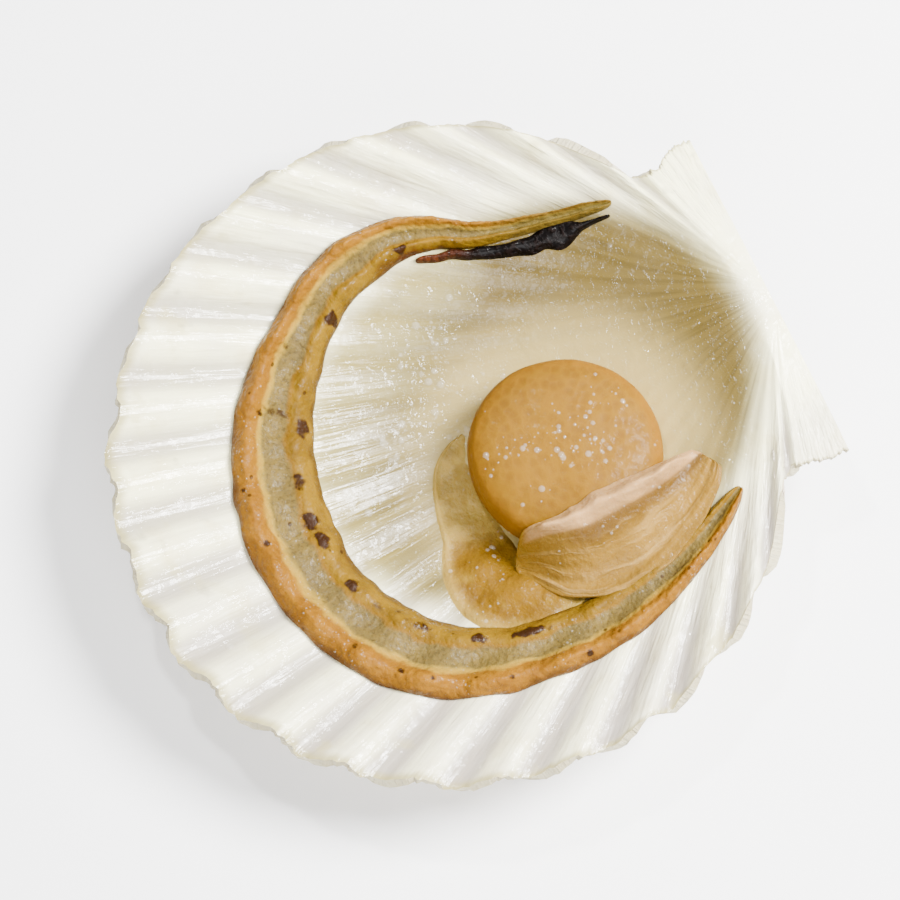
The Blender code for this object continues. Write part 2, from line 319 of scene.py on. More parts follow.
def amount(tree, *factors):
    """How much of something there is: the product of its factors.

    A factor is a number, a node, a socket, or the name of a value that the piece's points hold. One
    in brackets is a smooth ramp: the factor, where the ramp starts and ends, and what it gives there,
    if that isn't 0 and 1.
    """
    total = None
    for factor in factors:
        ramp = ()
        if isinstance(factor, tuple):
            factor, *ramp = factor
        if isinstance(factor, str):
            factor = add(tree, "ShaderNodeAttribute", attribute_name=factor).outputs["Fac"]
        if ramp:
            ends = dict(zip(("From Min", "From Max", "To Min", "To Max"), ramp), Value=factor)
            factor = add(tree, "ShaderNodeMapRange", ends, interpolation_type="SMOOTHSTEP")
        if total is not None:
            factor = add(tree, "ShaderNodeMath", {0: total, 1: factor}, operation="MULTIPLY")
        total = factor
    return total


def smooth_step(low, high, value):
    share = np.clip((value - low) / (high - low), 0.0, 1.0)
    return share * share * (3.0 - 2.0 * share)


def ridge(across, centre, spread):
    return np.exp(-(((across - centre) / spread) ** 2))


def ripple(value, seed, slowest, fastest, waves=14):
    """A wandering line between about -1 and 1: a sum of waves with seeded places."""
    draw = np.random.default_rng(seed)
    rates = np.geomspace(slowest, fastest, waves) * draw.uniform(0.9, 1.1, waves)
    phases = draw.uniform(0.0, 2.0 * np.pi, waves)
    total = sum(np.sin(rate * value + phase) for rate, phase in zip(rates, phases))
    return total / math.sqrt(waves)


def store(mesh, values):
    """Puts a number on each point of a mesh for every named value."""
    for key, numbers in values.items():
        mesh.attributes.new(key, "FLOAT", "POINT").data.foreach_set("value", numbers.astype(np.float32))


def stored(items, key, width=1):
    """The numbers that a mesh's items hold under a key, one row for each item."""
    flat = np.empty(len(items) * width, np.float32)
    items.foreach_get(key, flat)
    return flat if width == 1 else flat.reshape(-1, width)


def new_object(name, points, faces, values, closed=True):
    """A smooth mesh object at the origin, with a number on each point for every named value."""
    mesh = bpy.data.meshes.new(name)
    mesh.from_pydata(points.tolist(), [], faces)
    store(mesh, values)
    if closed:
        shape = bmesh.new()
        shape.from_mesh(mesh)
        bmesh.ops.recalc_face_normals(shape, faces=shape.faces)
        shape.to_mesh(mesh)
        shape.free()
    mesh.shade_smooth()
    obj = bpy.data.objects.new(name, mesh)
    bpy.context.scene.collection.objects.link(obj)
    return obj


def finish_piece(obj, node):
    """Puts a piece on the root body, and hides the part of the frame that it stands for, if it has one.
    """
    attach(obj, "root")
    if node:
        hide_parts(node)


def new_tree(name, sizes, seeds=(), finishes=("Finish",)):
    """A geometry tree with named inputs for its sizes, whole numbers and finishes, and its two ends."""
    tree = bpy.data.node_groups.new(name, "GeometryNodeTree")
    for way in ("INPUT", "OUTPUT"):
        tree.interface.new_socket("Geometry", in_out=way, socket_type="NodeSocketGeometry")
    kinds = {"NodeSocketFloat": sizes, "NodeSocketInt": seeds, "NodeSocketMaterial": finishes}
    for kind, names in kinds.items():
        for key in names:
            tree.interface.new_socket(key, in_out="INPUT", socket_type=kind)
    return tree, add(tree, "NodeGroupInput").outputs, add(tree, "NodeGroupOutput").inputs


def end_tree(tree, geometry, result, *finishes):
    """The last nodes of every tree: real geometry, smooth, with one finish after another set on it."""
    geometry = add(tree, "GeometryNodeRealizeInstances", {0: geometry})
    geometry = add(tree, "GeometryNodeSetShadeSmooth", {0: geometry})
    for finish in finishes:
        geometry = add(tree, "GeometryNodeSetMaterial", {0: geometry, **finish})
    plug(tree, result[0], geometry)
    return tree


def grow(obj, tree, inputs):
    """Runs a geometry tree on an object and keeps the result as its plain mesh."""
    modifier = obj.modifiers.new(tree.name, "NODES")
    modifier.node_group = tree
    for item in tree.interface.items_tree:
        if item.in_out == "INPUT" and item.name in inputs:
            modifier[item.identifier] = inputs[item.name]
    bpy.context.view_layer.update()
    evaluated = obj.evaluated_get(bpy.context.evaluated_depsgraph_get())
    grown = bpy.data.meshes.new_from_object(evaluated)
    obj.modifiers.remove(modifier)
    obj.data = grown
    if not grown.polygons:
        raise RuntimeError(f"{tree.name} made nothing on {obj.name}")


# The valve's form, from above: the umbo is at the top of the fan


def from_umbo(valve, x, y):
    umbo_y = valve.umbo_distance - valve.deepest_offset
    return np.arctan2(x, umbo_y - y), np.hypot(x, umbo_y - y)


def margin_from_umbo(valve, angle):
    """Distance from the umbo to the outline: the disc's far side, or the side of an ear."""
    half_reach = valve.umbo_distance * np.cos(angle)
    inside = half_reach**2 + valve.disc_radius**2 - valve.umbo_distance**2
    disc = half_reach + np.sqrt(np.maximum(inside, 0.0))
    span = np.where(angle > 0, valve.right_ear, valve.left_ear)
    depth = np.where(angle > 0, valve.right_notch, valve.left_notch)
    notch = depth * ridge(np.abs(angle), math.radians(72.5), math.radians(6.0))
    ear = span / np.maximum(np.sin(np.abs(angle)), 0.2) - notch
    on_ear = smooth_step(math.radians(62.0), math.radians(69.0), np.abs(angle))
    return np.where((inside > 0) & (half_reach > 0), disc * (1.0 - on_ear) + ear * on_ear, ear)


def dish_height(valve, x, y):
    """Height of the valve's floor between its ribs."""
    distance = np.hypot(x, y)
    along = valve.deepest_offset * y / np.maximum(distance, 1e-9)
    edge = np.sqrt(along**2 + valve.disc_radius**2 - valve.deepest_offset**2) - along
    reach = distance / edge
    turn = valve.dish_share * math.pi
    rise = (1.0 - np.cos(turn * np.minimum(reach, 1.0))) / (1.0 - math.cos(turn))
    angle, from_hinge = from_umbo(valve, x, y)
    share = np.minimum(1.0, from_hinge / margin_from_umbo(valve, angle))
    sway = 0.5 * MM * smooth_step(0.8, 1.0, share) * np.sin(3.0 * angle + 0.6)
    drop = valve.ear_drop * np.minimum(1.0, np.maximum(0.0, reach - 1.0) / 0.25)
    return valve.floor_level + valve.depth * rise + sway - drop


def rib_strength(share):
    """How much of its full height a rib has, from the umbo at 0 to the rim at 1."""
    return 0.16 * smooth_step(0.06, 0.4, share) + 0.84 * smooth_step(0.35, 1.0, share)


def inner_strength(share):
    """How much of a rib shows on the inner side, where it is smoothed over under the flesh."""
    return 0.34 + 0.66 * smooth_step(0.55, 0.95, share)


def fan_wave(valve, angle):
    """1 on the crest of an outer rib and -1 between two, and nothing on the ears."""
    on_fan = 1.0 - smooth_step(math.radians(67.5), math.radians(76.5), np.abs(angle))
    return on_fan * np.cos(2.0 * np.pi * angle / valve.rib_pitch)


def floor_height(valve, x, y):
    """Height of the valve's floor with its ribs, which the flesh lies on."""
    angle, from_hinge = from_umbo(valve, x, y)
    share = np.minimum(1.0, from_hinge / margin_from_umbo(valve, angle))
    ribs = valve.rib_inside * rib_strength(share) * inner_strength(share) * fan_wave(valve, angle)
    return dish_height(valve, x, y) - ribs


def muscle_distance(valve, flesh, x, y):
    return np.hypot(x - flesh.muscle_x, y - flesh.muscle_y + valve.deepest_offset)


def valve_sheet(valve, flesh, columns=376, rows=112):
    """The smooth inner surface of the valve, with what its ribs and its stains follow."""
    across, along = np.meshgrid(np.linspace(-1.0, 1.0, columns + 1), np.linspace(0.0, 1.0, rows + 1))
    along = 1.0 - (1.0 - along) ** 1.25
    angle = across * math.pi / 2.0
    on_fan = 1.0 - smooth_step(math.radians(67.5), math.radians(76.5), np.abs(angle))
    overhang = 0.007 * smooth_step(0.8, 1.0, along) * fan_wave(valve, angle)
    wear = smooth_step(0.955, 1.0, along) * (0.6 * ripple(angle, 3, 20, 420) - 0.3)
    distance = margin_from_umbo(valve, angle) * along * (1.0 + overhang) + valve.rim_wear * wear
    hinge_line = 2.5 * MM * np.sin(angle) * (1.0 - along) ** 6
    x = distance * np.sin(angle) + hinge_line
    y = valve.umbo_distance - valve.deepest_offset - distance * np.cos(angle)
    near = muscle_distance(valve, flesh, x, y) / flesh.muscle_radius
    hinge_side = smooth_step(-6 * MM, 40 * MM, y + 0.25 * x)
    inner_x, inner_y = (x + 2 * MM) / (32 * MM), (y + valve.deepest_offset - 15 * MM) / (38 * MM)
    film = 1.0 - smooth_step(0.86, 1.06, np.hypot(inner_x, inner_y))
    arm_side = ridge(x, -22 * MM, 12 * MM) * smooth_step(8 * MM, 30 * MM, y)
    stain = 0.85 * (1.0 - smooth_step(1.5, 3.2, near)) + hinge_side + 0.8 * arm_side
    index = np.arange((rows + 1) * (columns + 1)).reshape(rows + 1, columns + 1)
    corners = (index[:-1, :-1], index[1:, :-1], index[1:, 1:], index[:-1, 1:])
    faces = np.stack([corner.ravel() for corner in corners], axis=1)
    values = {
        "fan": angle,
        "share": along,
        "rib": on_fan * rib_strength(along),
        "inner": inner_strength(along),
        "grown": smooth_step(0.30, 0.80, along),
        "film": film,
        "stain": film * np.clip(stain, 0.0, 1.0),
        # near: the floor next to the muscle, where a paler ochre is painted to lift the muscle's shadow
        "near": 1.0 - smooth_step(1.0, 1.9, near),
    }
    values = {key: numbers.ravel() for key, numbers in values.items()}
    points = np.stack([x, y, dish_height(valve, x, y)], axis=-1).reshape(-1, 3)
    sheet = new_object("valve", points, faces.tolist(), values, closed=False)
    if sum(face.normal.z for face in sheet.data.polygons) < 0:
        sheet.data.flip_normals()
    return sheet


def valve_tree():
    """Raises the ribs on a smooth valve, gives it a wall with growth rings outside, and a flat foot."""
    heights = ("Rib Pitch", "Inner Rib Height", "Outer Rib Height", "Hinge Wall", "Rim Wall")
    sizes = (*heights, "Ring Spacing", "Ring Height", "Seed")
    tree, size, result = new_tree("ribbed valve", sizes, finishes=("Inside", "Outside"))
    named, sums = "GeometryNodeInputNamedAttribute", "ShaderNodeMath"
    fan, share, rib, inner = (
        add(tree, named, {"Name": key}, data_type="FLOAT") for key in ("fan", "share", "rib", "inner")
    )
    turn = add(tree, sums, {0: fan, 1: size["Rib Pitch"]}, operation="DIVIDE")
    wave = add(tree, sums, {0: amount(tree, turn, 2.0 * math.pi)}, operation="COSINE")
    uneven = add(tree, "ShaderNodeCombineXYZ", {"X": fan, "Y": share, "Z": size["Seed"]})
    uneven = add(tree, "ShaderNodeTexNoise", {"Vector": uneven, "Scale": 9.0, "Detail": 3.0})
    uneven = add(tree, "ShaderNodeMapRange", {"Value": uneven, "To Min": 0.45, "To Max": 1.5})
    wave = amount(tree, wave, uneven, rib)
    dip = amount(tree, wave, size["Inner Rib Height"], inner)
    lift = add(tree, "ShaderNodeCombineXYZ", {"Z": amount(tree, dip, -1.0)})
    ribbed = add(tree, "GeometryNodeSetPosition", {0: size["Geometry"], "Offset": lift})

    ends = {"Value": share, "From Min": 0.1, "To Min": size["Hinge Wall"], "To Max": size["Rim Wall"]}
    wall = add(tree, "ShaderNodeMapRange", ends, interpolation_type="SMOOTHSTEP")
    crest = amount(tree, wave, size["Outer Rib Height"])
    crest = add(tree, sums, {0: crest, 1: dip}, operation="SUBTRACT")
    place = add(tree, "GeometryNodeInputPosition")
    blur = add(tree, "ShaderNodeTexNoise", {"Vector": place, "Scale": 70.0, "Detail": 3.0})
    rings = add(tree, sums, {0: FAN_LENGTH, 1: size["Ring Spacing"]}, operation="DIVIDE")
    rings = {0: amount(tree, rings, share), 1: amount(tree, blur, 2.4)}
    rings = add(tree, sums, rings, operation="ADD")
    rings = add(tree, sums, {0: rings, 1: 1.0}, operation="PINGPONG")
    for layer in (crest, amount(tree, rings, size["Ring Height"])):
        wall = add(tree, sums, {0: wall, 1: layer}, operation="ADD")
    walled = {0: ribbed, "Offset Scale": amount(tree, wall, -1.0), "Individual": False}
    shell = add(tree, "GeometryNodeExtrudeMesh", walled, mode="FACES")
    turned = add(tree, "GeometryNodeFlipFaces", {0: shell})
    outer_faces = {0: shell.outputs["Top"], 1: shell.outputs["Side"]}
    outer = add(tree, "FunctionNodeBooleanMath", outer_faces, operation="OR")

    split = add(tree, "ShaderNodeSeparateXYZ", {0: place}).outputs
    pressed = add(tree, sums, {0: split["Z"], 1: 0.0}, operation="MAXIMUM")
    foot = add(tree, "ShaderNodeCombineXYZ", {"X": split["X"], "Y": split["Y"], "Z": pressed})
    under = add(tree, "GeometryNodeSetPosition", {0: turned, "Position": foot})
    both = add(tree, "GeometryNodeJoinGeometry")
    for half in (under, ribbed):
        plug(tree, both.inputs[0], half)
    closed = add(tree, "GeometryNodeMergeByDistance", {0: both, "Distance": 1e-6})
    outside = {"Selection": outer, "Material": size["Outside"]}
    return end_tree(tree, closed, result, {"Material": size["Inside"]}, outside)


# Strips and blobs of flesh


def along_route(valve, route, share):
    """Place, width, direction and length so far, at shares of a smooth curve through a route's points."""
    knots = np.array(route, float)
    last = len(knots) - 1
    step = np.minimum(last - 1, (share * last).astype(int))
    part = (share * last - step)[:, None]
    a, b = knots[np.maximum(step - 1, 0)], knots[step]
    c, d = knots[step + 1], knots[np.minimum(step + 2, last)]
    bend = (2 * a - 5 * b + 4 * c - d) * part**2 + (3 * b - a - 3 * c + d) * part**3
    value = 0.5 * (2 * b + (c - a) * part + bend)
    slope = 0.5 * (c - a + 2 * (2 * a - 5 * b + 4 * c - d) * part + 3 * (3 * b - a - 3 * c + d) * part**2)
    slope = slope[:, :2] / np.linalg.norm(slope[:, :2], axis=1, keepdims=True)
    place = value[:, :2] * MM - np.array([0.0, valve.deepest_offset])
    steps = np.linalg.norm(np.diff(place, axis=0), axis=1)
    return place, value[:, 2] * MM, slope, np.concatenate([[0.0], np.cumsum(steps)])


def tip_taper(share):
    """How wide a strip is along its length, against its own width: rounded off at both tips."""
    inner = np.minimum(1.0, np.minimum(share, 1.0 - share) / TIP_SHARE)
    return np.sqrt(np.maximum(0.0, 1.0 - (1.0 - inner) ** 2))


def ball(grid, values):
    """A grid of rings closed at both ends: its points, faces and values, each end drawn to a point."""
    rings, sides = grid.shape[0] - 2, grid.shape[1]
    ring = 1 + np.arange(rings * sides).reshape(rings, sides)
    after = np.roll(ring, -1, axis=1)
    quads = np.stack([ring[:-1], after[:-1], after[1:], ring[1:]], axis=-1).reshape(-1, 4).tolist()
    quads += [(0, b, a) for a, b in zip(ring[0].tolist(), after[0].tolist())]
    quads += [(1 + rings * sides, a, b) for a, b in zip(ring[-1].tolist(), after[-1].tolist())]
    inner = grid[1:-1].reshape(-1, 3)
    points = np.concatenate([[grid[0].mean(0)], inner, [grid[-1].mean(0)]])
    flat = {}
    for key, numbers in values.items():
        numbers = np.broadcast_to(numbers, grid.shape[:2])
        flat[key] = np.concatenate([[numbers[0].mean()], numbers[1:-1].ravel(), [numbers[-1].mean()]])
    return points, quads, flat


def strip(name, valve, route, detail, support, section, edge):
    """A strip of flesh along a route: flat against its support below, and shaped above.

    section gives the height at places across, from -1 on the right to 1 on the left, and at lengths
    along. edge moves the two sides in and out. detail is the number of points round a section and of
    sections. Its values are across, along in metres, and top.
    """
    sides, rings = detail
    share = np.linspace(0.0, 1.0, rings + 2)
    place, width, ahead, length = along_route(valve, route, share)
    turn = np.linspace(0.0, 2.0 * np.pi, sides, endpoint=False)
    across = (np.sign(np.cos(turn)) * np.abs(np.cos(turn)) ** 0.85)[None, :]
    up = np.maximum(0.0, np.sin(turn))[None, :]
    taper = tip_taper(share)[:, None]
    side = 0.5 * width[:, None] * taper * across
    side = side * (1.0 + edge(np.sign(across), length[:, None]))
    x = place[:, :1] - ahead[:, 1:] * side
    y = place[:, 1:] + ahead[:, :1] * side
    height = section(across, share[:, None], length[:, None]) * taper * up**0.6
    z = support(x, y) + height - SINK * np.where(up > 0, taper, 1.0)
    values = {"across": across, "along": length[:, None], "top": np.sqrt(up)}
    return new_object(name, *ball(np.stack([x, y, z], axis=-1), values))


def muscle_outline(flesh, angle):
    """Radius of the muscle at an angle round it, a little uneven."""
    uneven = 0.022 * np.sin(2.0 * angle + 0.5) + 0.012 * np.sin(3.0 * angle + 2.0)
    return flesh.muscle_radius * (1.0 + uneven)


def draped_support(valve, flesh, x, y):
    """What carries the gill membrane: the muscle's top, a slope past its side, and the mantle's foot."""
    foot = dish_height(valve, x, y) + 1.9 * MM
    top = flesh.muscle_top + flesh.muscle_dome - 0.2 * MM
    bearing = np.arctan2(y - flesh.muscle_y + valve.deepest_offset, x - flesh.muscle_x)
    gentle = smooth_step(math.radians(-75.0), math.radians(-10.0), bearing)
    run = flesh.gill_run * (0.45 + 0.55 * gentle)
    beyond = (muscle_distance(valve, flesh, x, y) - 0.84 * flesh.muscle_radius) / run
    return top + (foot - top) * smooth_step(0.0, 1.0, beyond)


def marks_value(mesh, valve, marks):
    """How dark each point of a piece is from a list of marks that lie along the mantle."""
    points = stored(mesh.vertices, "co", 3)
    x, y = points[:, 0] / MM, (points[:, 1] + valve.deepest_offset) / MM
    dark = np.zeros(len(points))
    for mark_x, mark_y, along, across, strength in marks:
        bearing = math.atan2(mark_y - 6.0, mark_x)
        out = (x - mark_x) * math.cos(bearing) + (y - mark_y) * math.sin(bearing)
        beside = (y - mark_y) * math.cos(bearing) - (x - mark_x) * math.sin(bearing)
        fray = 1.0 + 0.35 * np.sin(2.3 * out + 3.1 * beside)
        shape = np.exp(-(((out / across) ** 2 + (beside / along) ** 2) * fray))
        dark = np.maximum(dark, strength * smooth_step(0.05, 0.8, shape))
    return dark


def flesh_tree():
    """Raises soft lumps all over a piece, and round pebbles where its pebbled value says."""
    sizes = ("Lump Size", "Lump Height", "Pebble Size", "Pebble Height", "Seed")
    tree, size, result = new_tree("wet flesh relief", sizes)
    named, sums = "GeometryNodeInputNamedAttribute", "ShaderNodeMath"
    place, normal = add(tree, "GeometryNodeInputPosition"), add(tree, "GeometryNodeInputNormal")
    top, pebbled = (add(tree, named, {"Name": key}, data_type="FLOAT") for key in ("top", "pebbled"))
    rate = add(tree, sums, {0: 1.0, 1: size["Lump Size"]}, operation="DIVIDE")
    noise = {"Vector": place, "W": size["Seed"], "Scale": rate, "Detail": 3.0}
    lumps = add(tree, "ShaderNodeTexNoise", noise, noise_dimensions="4D")
    lumps = add(tree, sums, {0: lumps, 1: 0.5}, operation="SUBTRACT")
    lumps = amount(tree, lumps, size["Lump Height"], top)
    rate = add(tree, sums, {0: 1.0, 1: size["Pebble Size"]}, operation="DIVIDE")
    cells = {"Vector": place, "Scale": rate, "Smoothness": 0.35}
    pebbles = add(tree, "ShaderNodeTexVoronoi", cells, feature="SMOOTH_F1")
    pebbles = add(tree, sums, {0: 0.55, 1: pebbles}, operation="SUBTRACT")
    pebbles = amount(tree, pebbles, size["Pebble Height"], pebbled)
    rise = add(tree, sums, {0: lumps, 1: pebbles}, operation="ADD")
    shift = add(tree, "ShaderNodeVectorMath", {0: normal, "Scale": rise}, operation="SCALE")
    raised = add(tree, "GeometryNodeSetPosition", {0: size["Geometry"], "Offset": shift})
    return end_tree(tree, raised, result, {"Material": size["Finish"]})


def scatter_tree():
    """Lays small flattened beads over a piece, thickest where its wet value is high."""
    sizes = ("Per Square Metre", "Smallest", "Largest", "Flatness")
    tree, size, result = new_tree("scattered beads", sizes, seeds=("Seed",))
    wet = add(tree, "GeometryNodeInputNamedAttribute", {"Name": "wet"}, data_type="FLOAT")
    density = amount(tree, wet, size["Per Square Metre"])
    laid = {0: size["Geometry"], "Density": density, "Seed": size["Seed"]}
    points = add(tree, "GeometryNodeDistributePointsOnFaces", laid).outputs
    bead = add(tree, "GeometryNodeMeshUVSphere", {"Segments": 9, "Rings": 5, "Radius": 1.0})
    draw = {"Seed": size["Seed"]}
    chance = add(tree, "FunctionNodeRandomValue", draw, data_type="FLOAT").outputs["Value"]
    chance = add(tree, "ShaderNodeMath", {0: chance, 1: 3.5}, operation="POWER")
    ends = {"Value": chance, "To Min": size["Smallest"], "To Max": size["Largest"]}
    radius = add(tree, "ShaderNodeMapRange", ends)
    scale = {"X": radius, "Y": radius, "Z": amount(tree, radius, size["Flatness"])}
    scale = add(tree, "ShaderNodeCombineXYZ", scale)
    placed = {0: points["Points"], "Instance": bead, "Rotation": points["Rotation"], "Scale": scale}
    beads = add(tree, "GeometryNodeInstanceOnPoints", placed)
    return end_tree(tree, beads, result, {"Material": size["Finish"]})


# Finishes. Pattern sizes are in millimetres: a noise of scale 1000 / size has features of that size


def new_finish(name, sockets):
    """A material with its tree, its shader with constant values set, and its object coordinates."""
    material = bpy.data.materials.new(name)
    material.use_nodes = True
    tree = material.node_tree
    shader = tree.nodes["Principled BSDF"]
    for key, value in sockets.items():
        shader.inputs[key].default_value = value
    return material, tree, shader, add(tree, "ShaderNodeTexCoord").outputs["Object"]


def blotches(tree, vector, millimetres, low, high, detail=3.0):
    """A soft mask of patches about that size: 0 where the noise is under low, 1 over high."""
    noise = {"Vector": vector, "Scale": 1000.0 / millimetres, "Detail": detail}
    return amount(tree, (add(tree, "ShaderNodeTexNoise", noise), low, high))


def layered(tree, base, *coats):
    """A colour with coats over it. Each coat is its colour, and the factors of how much of it shows."""
    colour = base
    for coat, *factors in coats:
        coat = linear(coat) if isinstance(coat, str) else coat
        mixed = {0: amount(tree, *factors), 6: colour, 7: coat}
        colour = add(tree, "ShaderNodeMix", mixed, data_type="RGBA").outputs[2]
    return colour


def relief(tree, steps):
    """A chain of bumps, each a height field and its depth in millimetres."""
    bump = None
    for height, depth in steps:
        before = {"Normal": bump} if bump else {}
        bump = add(tree, "ShaderNodeBump", {"Height": height, "Distance": depth * MM, **before})
    return bump


def shown(tree, shader, colour, roughness, bumps, film=()):
    """Links a finish to its shader: its colour, roughness, bumps, and the ripples of its wet film.

    roughness is a mask, and the roughness where it is 0 and where it is 1.
    """
    mask, low, high = roughness
    links = {
        "Base Color": colour,
        "Roughness": amount(tree, (mask, 0.0, 1.0, low, high)),
        "Normal": relief(tree, bumps),
        "Coat Normal": relief(tree, film),
    }
    for name, value in links.items():
        if value:
            plug(tree, shader.inputs[name], value)


def fan_place(tree, along_rate, across_rate):
    """A vector that follows the valve's fan, so that noise on it stretches along the ribs."""
    place = {"X": amount(tree, "fan", across_rate), "Y": amount(tree, "share", along_rate)}
    return add(tree, "ShaderNodeCombineXYZ", place)


def rib_wave(tree, valve):
    """1 between two ribs of the inner side and 0 on a crest, faded where the ribs fade.

    The painted shade between the ribs follows it.
    """
    turn = amount(tree, "fan", 2.0 * math.pi / valve.rib_pitch)
    wave = add(tree, "ShaderNodeMath", {0: turn}, operation="COSINE")
    return amount(tree, (wave, -0.6, 1.0), "rib")


def swayed_across(tree, place, millimetres, detail, reach):
    """The place across a strip, moved to and fro, so that the bands on it have wandering borders."""
    noise = {"Vector": place, "Scale": 1000.0 / millimetres, "Detail": detail}
    noise = add(tree, "ShaderNodeTexNoise", noise)
    ends = {0: amount(tree, "across"), 1: amount(tree, (noise, 0.2, 0.8, -reach, reach))}
    return add(tree, "ShaderNodeMath", ends, operation="ADD")


def pearly_finish(valve):
    """Calcite of the inner side, laid down wet and smooth.

    Warm white on the crests, with painted shade between the ribs: a cool grey, and a lilac grey over the
    margin towards +X. Streaked along the ribs, stained straw yellow on the floor where flesh lay, with a
    paler ochre painted next to the muscle to lift its shadow, and glossy as if wet.
    """
    sockets = {"Coat Weight": 0.55, "Coat Roughness": 0.06, "Specular IOR Level": 0.35}
    material, tree, shader, place = new_finish("pearly calcite, wet", sockets)
    groove_shade = rib_wave(tree, valve)
    streaks = blotches(tree, fan_place(tree, 0.005, 0.035), 0.9, 0.40, 0.70)
    streaks_grown = amount(tree, streaks, "grown")
    fine = amount(tree, blotches(tree, fan_place(tree, 0.008, 0.075), 0.9, 0.38, 0.70, 2.0), "grown")
    soft = blotches(tree, fan_place(tree, 0.004, 0.018), 0.9, 0.40, 0.66, 2.0)
    swirl = blotches(tree, fan_place(tree, 0.012, 0.04), 2.2, 0.30, 0.70, 2.0)
    cloud = blotches(tree, place, 14.0, 0.38, 0.66)
    warm = blotches(tree, place, 6.0, 0.48, 0.72)
    smudge = blotches(tree, place, 5.0, 0.66, 0.76)
    algae = blotches(tree, place, 8.0, 0.56, 0.70)
    pools = blotches(tree, place, 2.4, 0.36, 0.64)
    beads = blotches(tree, place, 0.9, 0.50, 0.66, 2.0)
    stain = amount(tree, "stain", (streaks_grown, 0.0, 1.0, 1.0, 0.8))
    film = amount(tree, "film", (cloud, 0.0, 1.0, 0.95, 1.0), (groove_shade, 0.0, 0.6, 0.88, 1.0))
    colour = layered(
        tree,
        valve.pearl,
        ("#c6bac0", cloud, 0.24),
        ("#dfce88", warm, 0.34),
        # painted shade: a lilac grey over the outer margin on the +X side, deepest between the ribs
        ("#a0969c", ("fan", -0.35, 0.6), ("share", 0.5, 0.9), (groove_shade, 0.0, 1.0, 0.28, 0.6)),
        # painted shade: a cool grey between the ribs
        (valve.groove_shade, groove_shade, 0.74),
        ("#a0917a", streaks_grown, 0.26),
        (valve.straw, film),
        (valve.tint, stain),
        ("#40330f", stain, soft, 0.55),
        # the juice's ochre tint next to the muscle, painted paler there to lift the muscle's shadow
        ("#c2ab68", "near", 0.70),
        ("#b3a860", algae, ("share", 0.82, 0.97), 0.45),
        ("#554e37", smudge, 0.26),
        (valve.edge, ("share", 0.978, 0.998), 0.75),
    )
    swirl = amount(tree, swirl, "film", "grown")
    bumps = ((fine, 0.06), (streaks_grown, 0.10), (swirl, 0.2), (warm, 0.08))
    ripples = ((fine, 0.10), (pools, 0.22), (amount(tree, beads, "film"), 0.22))
    shown(tree, shader, colour, (cloud, 0.24, 0.40), bumps, ripples)
    return material


def chalky_finish(valve):
    """Calcite of the outer side, grown in rings and weathered to chalk.

    Matt cream with tan growth bands, a darker tan between the ribs, patches of dirt, and a fine grit that
    dulls every edge.
    """
    sockets = {"Specular IOR Level": 0.35}
    material, tree, shader, place = new_finish("chalky calcite, weathered", sockets)
    crest = rib_wave(tree, valve)
    blur = add(tree, "ShaderNodeTexNoise", {"Vector": place, "Scale": 60.0, "Detail": 4.0})
    grown = {0: amount(tree, "share"), 1: amount(tree, blur, 0.14)}
    grown = add(tree, "ShaderNodeMath", grown, operation="ADD")
    wave = add(tree, "ShaderNodeMath", {0: amount(tree, grown, 46.0)}, operation="SINE")
    band = amount(tree, (wave, 0.35, 1.0))
    grit = blotches(tree, place, 0.7, 0.40, 0.62, 5.0)
    dirt = blotches(tree, place, 7.0, 0.50, 0.72)
    streaks = blotches(tree, fan_place(tree, 0.012, 0.30), 0.9, 0.42, 0.66)
    colour = layered(
        tree,
        valve.chalk,
        (valve.band, band, 0.50),
        ("#b9a790", (crest, 0.75, 0.0, 0.0, 0.35)),
        ("#cdb9a8", dirt, 0.35),
        ("#fbf7ef", streaks, 0.25),
        ("#a3927c", grit, 0.18),
        (valve.edge, ("share", 0.985, 1.0, 0.0, 0.6)),
    )
    shown(tree, shader, colour, (grit, 0.58, 0.80), ((band, 0.14), (streaks, 0.12), (grit, 0.06)))
    return material


def flesh_finish(name, scatter, wet=0.10):
    """The start of every wet flesh: light passes a little way in, and a film of water lies on it."""
    sockets = {
        "Coat Weight": wet,
        "Coat Roughness": 0.05,
        "IOR": 1.34,
        "Specular IOR Level": 0.14,
        "Subsurface Weight": scatter,
        "Subsurface Radius": (1.0, 0.62, 0.30),
        "Subsurface Scale": 1.0 * MM,
    }
    return new_finish(name, sockets)


def muscle_finish(flesh):
    """Raw adductor muscle, cut from its upper valve.

    Bundles of fibre end on top as faint grains, and run down the side wall, which is more orange.
    Painted shade darkens its -X half.
    """
    material, tree, shader, place = flesh_finish("raw muscle, wet", 0.20, 0.03)
    grains = add(tree, "ShaderNodeTexVoronoi", {"Vector": place, "Scale": 1000 / 1.5})
    grains = amount(tree, (grains, 0.15, 0.75))
    fibre = add(tree, "ShaderNodeCombineXYZ", {"X": amount(tree, "round", 0.22)})
    threads = amount(tree, blotches(tree, fibre, 1.0, 0.35, 0.65), "side")
    cloud = blotches(tree, place, 7.0, 0.36, 0.68)
    wrinkle = blotches(tree, place, 1.9, 0.38, 0.66, 4.0)
    place_x = add(tree, "ShaderNodeSeparateXYZ", {0: place})
    colour = layered(
        tree,
        flesh.muscle_colour,
        # painted shade: the muscle darker towards -X
        ("#593a0a", (place_x, 6 * MM, -8 * MM), 0.5),
        ("#593a0a", cloud, 0.42),
        ("#88620a", grains, 0.22),
        (flesh.muscle_side, "side", 0.75),
        ("#895d0a", threads, 0.30),
    )
    bumps = ((wrinkle, 0.03), (grains, 0.04), (threads, 0.06))
    ripples = ((cloud, 0.2), (grains, 0.08), (wrinkle, 0.06))
    shown(tree, shader, colour, (wrinkle, 0.46, 0.60), bumps, ripples)
    return material


